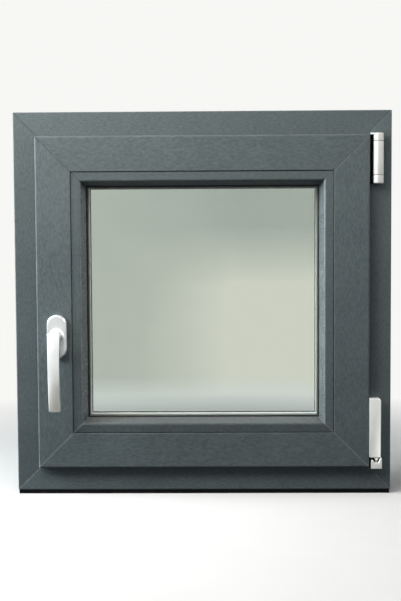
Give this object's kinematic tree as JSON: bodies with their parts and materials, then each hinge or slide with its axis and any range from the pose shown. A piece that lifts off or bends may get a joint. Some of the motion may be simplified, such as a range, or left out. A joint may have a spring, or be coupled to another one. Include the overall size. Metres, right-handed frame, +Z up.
{
  "type": "tilt and turn window",
  "caption": "Small square tilt and turn window with a foiled plastic frame and sash, double glazing, a lever handle on one side and covered hinges on the other.",
  "frame": {"origin": "middle of the underside, on the face the window stands on, half way through its depth", "axes": "+X to the right seen from the room, +Y through the wall towards outdoors, +Z up"},
  "size_m": [0.6, 0.1459, 0.612],
  "materials": {
    "anthracite_foil": "embossed wood grain foil, satin",
    "anthracite_plastic": "matt moulded",
    "black_plastic": "matt moulded",
    "glass": "clear float glass",
    "spacer": "matt",
    "black_rubber": "matt",
    "brushed_aluminium": "brushed and anodised",
    "steel": "zinc plated",
    "silver_cover": "silver lacquered, satin"
  },
  "bodies": {
    "window": {"frame_left": "anthracite_foil", "frame_right": "anthracite_foil", "frame_top": "anthracite_foil", "frame_bottom": "anthracite_foil", "sash_left": "anthracite_foil", "sash_right": "anthracite_foil", "sash_top": "anthracite_foil", "sash_bottom": "anthracite_foil", "bead_left": "anthracite_foil", "bead_right": "anthracite_foil", "bead_top": "anthracite_foil", "bead_bottom": "anthracite_foil", "drain_caps": "anthracite_plastic", "base_strip": "black_plastic", "handle_base_plate": "black_plastic", "glazing_blocks": "black_plastic", "upper_hinge_bracket": "black_plastic", "lower_hinge_plate": "black_plastic", "inner_pane": "glass", "outer_pane": "glass", "spacer_bar": "spacer", "edge_sealant": "black_rubber", "bead_seal": "black_rubber", "outdoor_glazing_seal": "black_rubber", "overlap_seal": "black_rubber", "stop_seal": "black_rubber", "handle_rosette": "brushed_aluminium", "upper_hinge_pin": "steel", "upper_hinge_cap": "silver_cover", "upper_hinge_sleeve": "silver_cover", "upper_hinge_foot": "silver_cover", "stay_arm_end": "silver_cover", "lower_hinge_cover": "silver_cover", "lower_hinge_pivot": "silver_cover", "pivot_rest": "silver_cover"},
    "handle": {"handle_lever": "brushed_aluminium", "handle_spindle": "steel"}
  },
  "joints": [
    {"name": "handle_turn", "type": "hinge", "parent": "window", "child": "handle", "pos_m": [-0.2315, -0.06, 0.2569], "axis": [0, -1, 0], "range_deg": [0, 180]}
  ]
}
